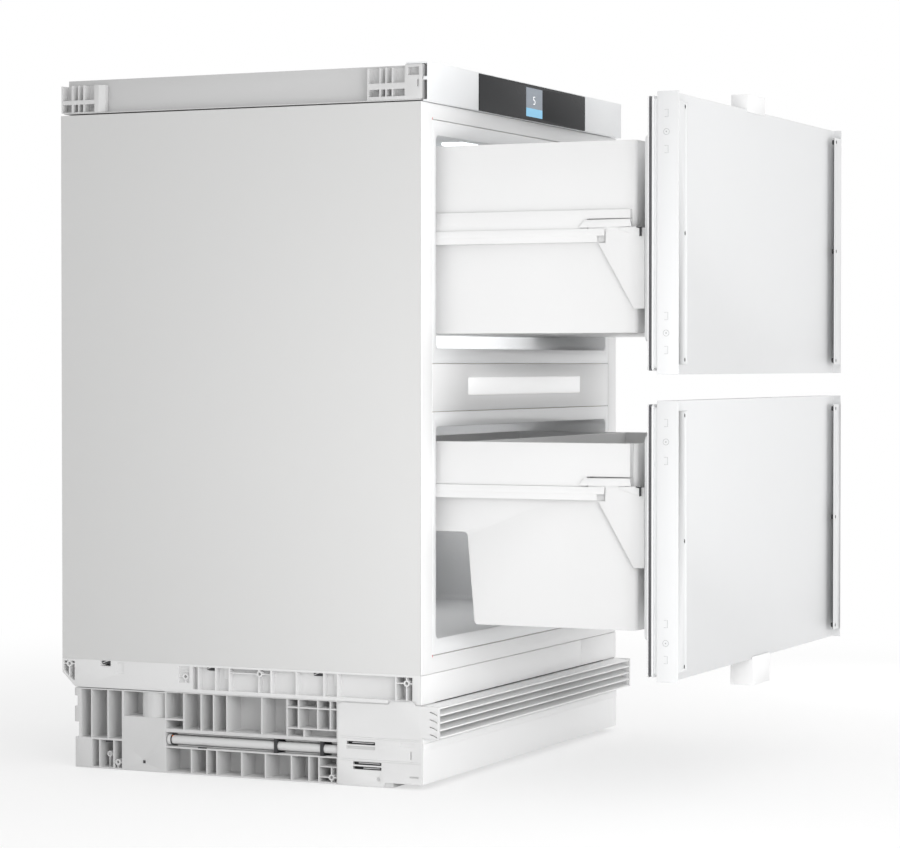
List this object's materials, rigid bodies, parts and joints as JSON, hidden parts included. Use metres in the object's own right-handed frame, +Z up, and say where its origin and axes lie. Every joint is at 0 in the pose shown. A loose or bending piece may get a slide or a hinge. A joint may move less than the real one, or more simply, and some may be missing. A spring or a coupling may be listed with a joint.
{
  "type": "undercounter drawer refrigerator",
  "caption": "Built-in undercounter refrigerator with insulated drawers on telescopic rails, a control strip with display, and a ribbed base with adjustable feet.",
  "frame": {"origin": "on the floor plane, under the middle of the cabinet, on the underside of the base tray", "axes": "+Z up, +X to the right as seen from the front, the drawers pull out towards -Y"},
  "size_m": [0.597, 0.781, 0.82],
  "materials": {
    "panel_steel": "satin",
    "cover_plastic": "matte",
    "white_plastic": "satin",
    "liner_plastic": "satin",
    "console_plastic": "satin",
    "rib_plastic": "matte",
    "door_steel": "satin",
    "container_plastic": "satin",
    "gasket_rubber": "matte",
    "foam": "porous",
    "zinc_steel": "zinc plated",
    "white_steel": "satin",
    "black_plastic": "matte",
    "black_steel": "semi gloss",
    "black_rubber": "matte",
    "glass_black": "polished",
    "display_blue": "back lit",
    "light_lens": "translucent",
    "aluminium": "mill finish",
    "fan_plastic": "matte"
  },
  "bodies": {
    "cabinet": {"side_panel_left": "panel_steel", "side_panel_right": "panel_steel", "rear_and_roof": "panel_steel", "machine_cover": "zinc_steel", "floor_pan": "zinc_steel", "top_cover": "cover_plastic", "front_frame": "white_plastic", "upper_liner": "liner_plastic", "lower_liner": "liner_plastic", "insulation": "foam", "mid_rail_cover": "white_plastic", "light_bar": "light_lens", "ceiling_light": "light_lens", "console": "console_plastic", "control_glass": "glass_black", "display": "display_blue", "top_brackets": "rib_plastic", "base_bands": "rib_plastic", "fascia_strip": "white_plastic", "base_carrier_left": "rib_plastic", "base_carrier_right": "rib_plastic", "cheeks": "rib_plastic", "base_tray": "zinc_steel", "vent_grille": "white_plastic", "plinth_panel": "white_plastic", "compressor": "black_steel", "compressor_mounts": "black_rubber", "condenser": "black_steel", "fan_motor": "black_plastic", "drip_tray": "black_plastic", "power_inlet": "black_plastic", "evaporator": "aluminium", "duct_cover": "white_plastic", "evaporator_motor": "black_plastic", "cabinet_rails": "zinc_steel", "rod_clips": "black_plastic"},
    "upper_drawer": {"upper_door_panel": "door_steel", "upper_door_liner": "liner_plastic", "upper_door_foam": "foam", "upper_gasket": "gasket_rubber", "upper_front_block": "white_plastic", "upper_container": "container_plastic", "upper_drawer_rails": "white_steel"},
    "lower_drawer": {"lower_door_panel": "door_steel", "lower_door_liner": "liner_plastic", "lower_door_foam": "foam", "lower_gasket": "gasket_rubber", "lower_front_block": "white_plastic", "lower_container": "container_plastic", "lower_drawer_rails": "white_steel"},
    "upper_rails": {"upper_mid_rails": "zinc_steel"},
    "lower_rails": {"lower_mid_rails": "zinc_steel"},
    "condenser_fan": {"condenser_fan": "black_plastic"},
    "evaporator_fan": {"evaporator_fan": "fan_plastic"},
    "adjusting_rod_left": {"adjusting_rod_left": "zinc_steel"},
    "adjusting_rod_right": {"adjusting_rod_right": "zinc_steel"},
    "front_foot_left": {"front_foot_left": "zinc_steel"},
    "front_foot_right": {"front_foot_right": "zinc_steel"},
    "rear_foot_left": {"rear_foot_left": "zinc_steel"},
    "rear_foot_right": {"rear_foot_right": "zinc_steel"}
  },
  "joints": [
    {"name": "upper_drawer_slide", "type": "slide", "parent": "cabinet", "child": "upper_drawer", "axis": [0, -1, 0], "range_m": [-0.268, 0.042]},
    {"name": "upper_rails_slide", "type": "slide", "parent": "cabinet", "child": "upper_rails", "axis": [0, -1, 0], "range_m": [-0.134, 0.021]},
    {"name": "lower_drawer_slide", "type": "slide", "parent": "cabinet", "child": "lower_drawer", "axis": [0, -1, 0], "range_m": [-0.268, 0.042]},
    {"name": "lower_rails_slide", "type": "slide", "parent": "cabinet", "child": "lower_rails", "axis": [0, -1, 0], "range_m": [-0.134, 0.021]},
    {"name": "condenser_fan_spin", "type": "hinge", "parent": "cabinet", "child": "condenser_fan", "pos_m": [-0.15, 0.1245, 0.092], "axis": [0, 1, 0], "continuous": true},
    {"name": "evaporator_fan_spin", "type": "hinge", "parent": "cabinet", "child": "evaporator_fan", "pos_m": [0, 0.1655, 0.688], "axis": [0, 1, 0], "continuous": true},
    {"name": "front_foot_left_screw", "type": "slide", "parent": "cabinet", "child": "front_foot_left", "axis": [0, 0, -1], "range_m": [0, 0.045]},
    {"name": "adjusting_rod_left_turn", "type": "hinge", "parent": "cabinet", "child": "adjusting_rod_left", "pos_m": [-0.2904, -0.0655, 0.039], "axis": [0, 1, 0], "range_deg": [0, 3240]},
    {"name": "rear_foot_left_screw", "type": "slide", "parent": "cabinet", "child": "rear_foot_left", "axis": [0, 0, -1], "range_m": [0, 0.045]},
    {"name": "front_foot_right_screw", "type": "slide", "parent": "cabinet", "child": "front_foot_right", "axis": [0, 0, -1], "range_m": [0, 0.045]},
    {"name": "adjusting_rod_right_turn", "type": "hinge", "parent": "cabinet", "child": "adjusting_rod_right", "pos_m": [0.2904, -0.0655, 0.039], "axis": [0, 1, 0], "range_deg": [0, 3240]},
    {"name": "rear_foot_right_screw", "type": "slide", "parent": "cabinet", "child": "rear_foot_right", "axis": [0, 0, -1], "range_m": [0, 0.045]}
  ],
  "couplings": [
    {"joint": "upper_rails_slide", "follows": "upper_drawer_slide", "ratio": 0.5},
    {"joint": "lower_rails_slide", "follows": "lower_drawer_slide", "ratio": 0.5},
    {"joint": "adjusting_rod_left_turn", "follows": "rear_foot_left_screw", "rad_per_m": 1256.6},
    {"joint": "adjusting_rod_right_turn", "follows": "rear_foot_right_screw", "rad_per_m": 1256.6}
  ]
}
